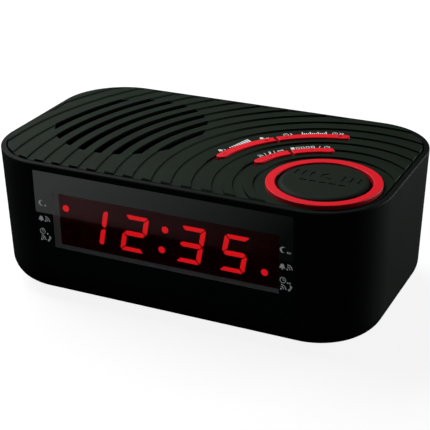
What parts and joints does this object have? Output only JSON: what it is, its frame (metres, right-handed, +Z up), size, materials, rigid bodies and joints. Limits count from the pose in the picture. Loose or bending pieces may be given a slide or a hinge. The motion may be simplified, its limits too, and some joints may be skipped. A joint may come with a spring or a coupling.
{
  "type": "clock radio",
  "caption": "Table clock radio: rounded tub case, rippled top with speaker slots, ringed snooze disc, curved keys and a lit digital display behind a flush front lens.",
  "frame": {"origin": "on the surface the feet stand on, under the middle of the case", "axes": "+X to the right seen from the front, -Y out of the display, +Z up"},
  "size_m": [0.19, 0.111, 0.0701],
  "materials": {
    "case_plastic": "fine satin moulded texture",
    "panel_plastic": "satin moulded, ripple steps",
    "red_plastic": "satin red",
    "button_plastic": "satin",
    "lens_acrylic": "polished, smoked, printed border",
    "bezel_plastic": "satin",
    "filter_film": "clear red film",
    "display_body": "matte black face",
    "lit_segment": "glowing epoxy",
    "unlit_segment": "dull epoxy",
    "circuit_board": "phenolic board",
    "steel_screw": "zinc plated",
    "silicone": "matte silicone",
    "speaker_steel": "pressed steel",
    "surround_foam": "rolled edge",
    "cone_paper": "black pulp",
    "magnet_ferrite": "sintered ferrite",
    "speaker_cloth": "open weave dust cloth",
    "can_metal": "tinned",
    "chip_epoxy": "moulded epoxy",
    "capacitor_sleeve": "sleeved can",
    "core_steel": "laminated, varnished",
    "winding_tape": "taped winding",
    "copper_wire": "enamelled wire",
    "contact_metal": "nickel plated",
    "clip_nylon": "natural nylon",
    "rubber": "matte",
    "lead_insulation": "flat lead"
  },
  "bodies": {
    "case": {"aerial_coil": "copper_wire", "band_dome": "silicone", "battery_leads": "lead_insulation", "battery_snap": "contact_metal", "battery_tray": "case_plastic", "cabinet": "case_plastic", "capacitors": "capacitor_sleeve", "case_screws": "steel_screw", "digit_segments_dark": "unlit_segment", "digit_segments_lit": "lit_segment", "display_bezel": "bezel_plastic", "display_board": "circuit_board", "display_filter": "filter_film", "display_lens": "lens_acrylic", "display_reflector": "display_body", "display_ribbon": "lead_insulation", "display_screws": "steel_screw", "ferrite_rod": "magnet_ferrite", "foot_front_left": "rubber", "foot_front_right": "rubber", "foot_rear_left": "rubber", "foot_rear_right": "rubber", "key_board": "circuit_board", "key_board_screws": "steel_screw", "key_ribbon": "lead_insulation", "main_board": "circuit_board", "main_board_screws": "steel_screw", "power_lead_gland": "rubber", "preset_dome": "silicone", "radio_chips": "chip_epoxy", "rod_clips": "clip_nylon", "snooze_dome": "silicone", "snooze_ring": "red_plastic", "speaker_basket": "speaker_steel", "speaker_cloth": "speaker_cloth", "speaker_cone": "cone_paper", "speaker_dust_cap": "cone_paper", "speaker_front_plate": "speaker_steel", "speaker_leads": "lead_insulation", "speaker_magnet": "magnet_ferrite", "speaker_pole_piece": "speaker_steel", "speaker_screws": "steel_screw", "speaker_surround": "surround_foam", "top_panel": "panel_plastic", "transformer_core": "core_steel", "transformer_leads": "lead_insulation", "transformer_screws": "steel_screw", "transformer_winding": "winding_tape", "tuner_can": "can_metal", "tuning_domes": "silicone", "volume_domes": "silicone"},
    "snooze_button": {"snooze_button": "button_plastic"},
    "volume_rocker": {"volume_rocker": "red_plastic"},
    "tuning_rocker": {"tuning_rocker": "red_plastic"},
    "band_button": {"band_button": "red_plastic"},
    "preset_button": {"preset_button": "red_plastic"},
    "battery_door": {"battery_door": "case_plastic"}
  },
  "joints": [
    {"name": "snooze_press", "type": "slide", "parent": "case", "child": "snooze_button", "axis": [0, 0, -1], "range_m": [0, 0.0012], "stiffness_N_per_m": 900, "deforming": ["snooze_dome"]},
    {"name": "volume_rock", "type": "hinge", "parent": "case", "child": "volume_rocker", "pos_m": [0.01667, -0.00272, 0.0636], "axis": [-0.898, 0.44, 0], "range_deg": [-2.3, 2.3], "stiffness_Nm_per_rad": 0.4, "deforming": ["volume_domes"]},
    {"name": "tuning_rock", "type": "hinge", "parent": "case", "child": "tuning_rocker", "pos_m": [0.04122, 0.02183, 0.0636], "axis": [-0.44, 0.898, 0], "range_deg": [-2.3, 2.3], "stiffness_Nm_per_rad": 0.4, "deforming": ["tuning_domes"]},
    {"name": "band_press", "type": "slide", "parent": "case", "child": "band_button", "axis": [0, 0, -1], "range_m": [0, 0.001], "stiffness_N_per_m": 700, "deforming": ["band_dome"]},
    {"name": "preset_press", "type": "slide", "parent": "case", "child": "preset_button", "axis": [0, 0, -1], "range_m": [0, 0.001], "stiffness_N_per_m": 700, "deforming": ["preset_dome"]},
    {"name": "battery_door_swing", "type": "hinge", "parent": "case", "child": "battery_door", "pos_m": [-0.0727, 0.002, 0.0025], "axis": [0, 1, 0], "range_deg": [0, 90]}
  ]
}
